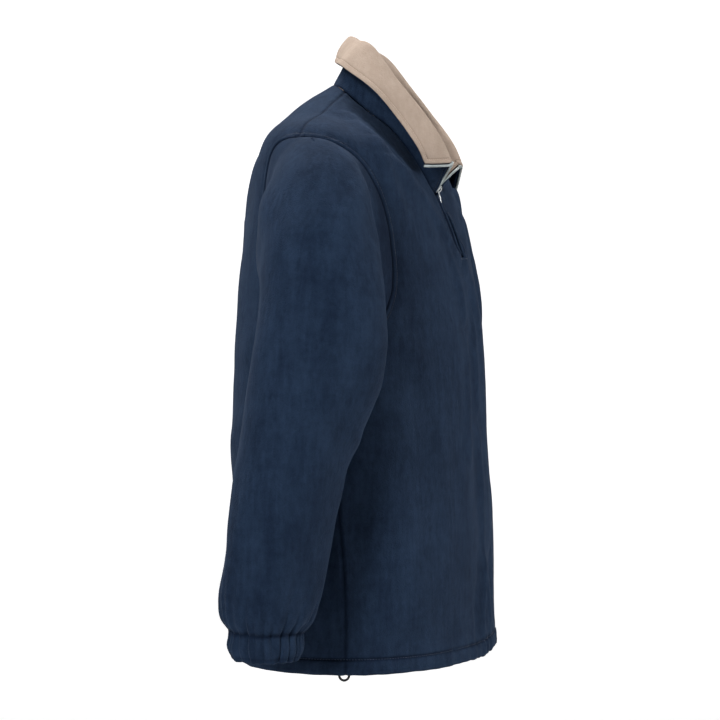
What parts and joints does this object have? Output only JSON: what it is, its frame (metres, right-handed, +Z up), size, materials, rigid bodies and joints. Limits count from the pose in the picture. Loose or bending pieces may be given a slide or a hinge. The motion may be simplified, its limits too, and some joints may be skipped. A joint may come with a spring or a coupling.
{
  "type": "zip fleece pullover",
  "caption": "Hollow fleece pullover as worn: body, sleeves with gathered cuffs, fold-over lined collar on a short front zip, hem with cord loops.",
  "frame": {"origin": "where the wearer's neck and shoulders hold the garment up: on the middle plane, at the height of the shoulder seams' neck ends", "axes": "+Z up, the wearer faces -Y, the wearer's right arm is on -X"},
  "size_m": [0.7394, 0.2989, 0.7713],
  "materials": {
    "navy_fleece": "matt brushed fleece with a short nap",
    "beige_fleece": "matt brushed fleece, the collar's lining",
    "black_tape": "woven zip tape",
    "silver_teeth": "pale grey zip teeth",
    "silver_metal": "plated zip slider and pull tab",
    "grey_stop": "moulded zip stop",
    "black_cord": "round braided elastic cord"
  },
  "bodies": {
    "garment": {"back": "navy_fleece", "front": "navy_fleece", "hem_front": "navy_fleece", "hem_back": "navy_fleece", "sleeve_left": "navy_fleece", "sleeve_right": "navy_fleece", "cuff_left": "navy_fleece", "cuff_right": "navy_fleece", "collar_outer": "navy_fleece", "collar_inner": "beige_fleece", "zip_tape_left": "black_tape", "zip_tape_right": "black_tape", "zip_chain_left": "silver_teeth", "zip_chain_right": "silver_teeth", "zip_chain": "silver_teeth", "zip_stop": "grey_stop", "zip_slider": "silver_metal", "hem_cord_left": "black_cord", "hem_cord_right": "black_cord"},
    "pull_tab": {"pull_tab": "silver_metal"}
  },
  "joints": [
    {"name": "pull_tab_hinge", "type": "hinge", "parent": "garment", "child": "pull_tab", "pos_m": [0, -0.09693, -0.12983], "axis": [-1, 0, 0], "range_deg": [0, 95]}
  ]
}
